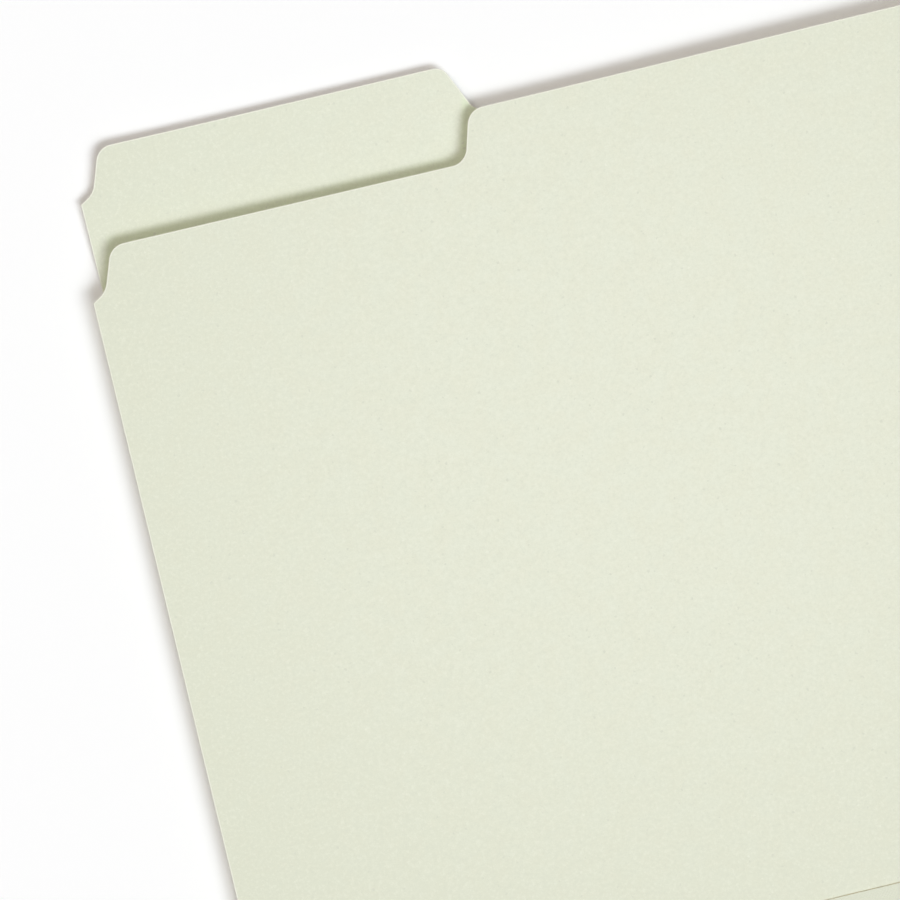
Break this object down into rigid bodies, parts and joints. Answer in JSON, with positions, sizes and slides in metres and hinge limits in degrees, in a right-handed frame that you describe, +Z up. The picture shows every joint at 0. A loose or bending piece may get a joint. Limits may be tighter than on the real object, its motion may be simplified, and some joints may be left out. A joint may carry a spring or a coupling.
{
  "type": "top tab file folder",
  "caption": "Letter-size pressed board file folder with a tab at the left of its top edge, a lower cut in the front board and an expanding cloth gusset along the bottom.",
  "frame": {"origin": "under the middle of the folder's outline, on the surface that it lies on", "axes": "+X along the width to the right, +Y from the gusset towards the tab, +Z up out of the front board"},
  "size_m": [0.3006, 0.2418, 0.0069],
  "materials": {
    "pressed_board": "matt pale grey-green pressed fibre board with fine mottling and sparse flecks",
    "gusset_cloth": "matt coated cloth in the colour of the boards",
    "glue": "dried paste"
  },
  "bodies": {
    "back_cover": {"back_panel": "pressed_board", "gusset_back_flap": "gusset_cloth", "back_glue_film": "glue"},
    "back_fold": {"gusset_back_fold": "gusset_cloth"},
    "back_leaf": {"gusset_back_leaf": "gusset_cloth"},
    "front_leaf": {"gusset_front_leaf": "gusset_cloth"},
    "front_fold": {"gusset_front_fold": "gusset_cloth"},
    "front_cover": {"front_panel": "pressed_board", "gusset_front_flap": "gusset_cloth", "front_glue_film": "glue"}
  },
  "joints": [
    {"name": "back_edge_fold", "type": "hinge", "parent": "back_cover", "child": "back_fold", "pos_m": [0, -0.12068, 0.00025], "axis": [1, 0, 0], "range_deg": [0, 90]},
    {"name": "gusset_unfold", "type": "hinge", "parent": "back_fold", "child": "back_leaf", "pos_m": [0, -0.12068, 0.00129], "axis": [1, 0, 0], "range_deg": [0, 81.38]},
    {"name": "gusset_middle_crease", "type": "hinge", "parent": "back_leaf", "child": "front_leaf", "pos_m": [0, -0.10816, 0.00344], "axis": [1, 0, 0], "range_deg": [-162.76, 0]},
    {"name": "gusset_front_crease", "type": "hinge", "parent": "front_leaf", "child": "front_fold", "pos_m": [0, -0.12068, 0.00559], "axis": [1, 0, 0], "range_deg": [0, 81.38]},
    {"name": "cover_swing", "type": "hinge", "parent": "front_fold", "child": "front_cover", "pos_m": [0, -0.12068, 0.00663], "axis": [1, 0, 0], "range_deg": [0, 90]}
  ],
  "couplings": [
    {"joint": "gusset_middle_crease", "follows": "gusset_unfold", "ratio": -2},
    {"joint": "gusset_front_crease", "follows": "gusset_unfold", "ratio": 1}
  ]
}
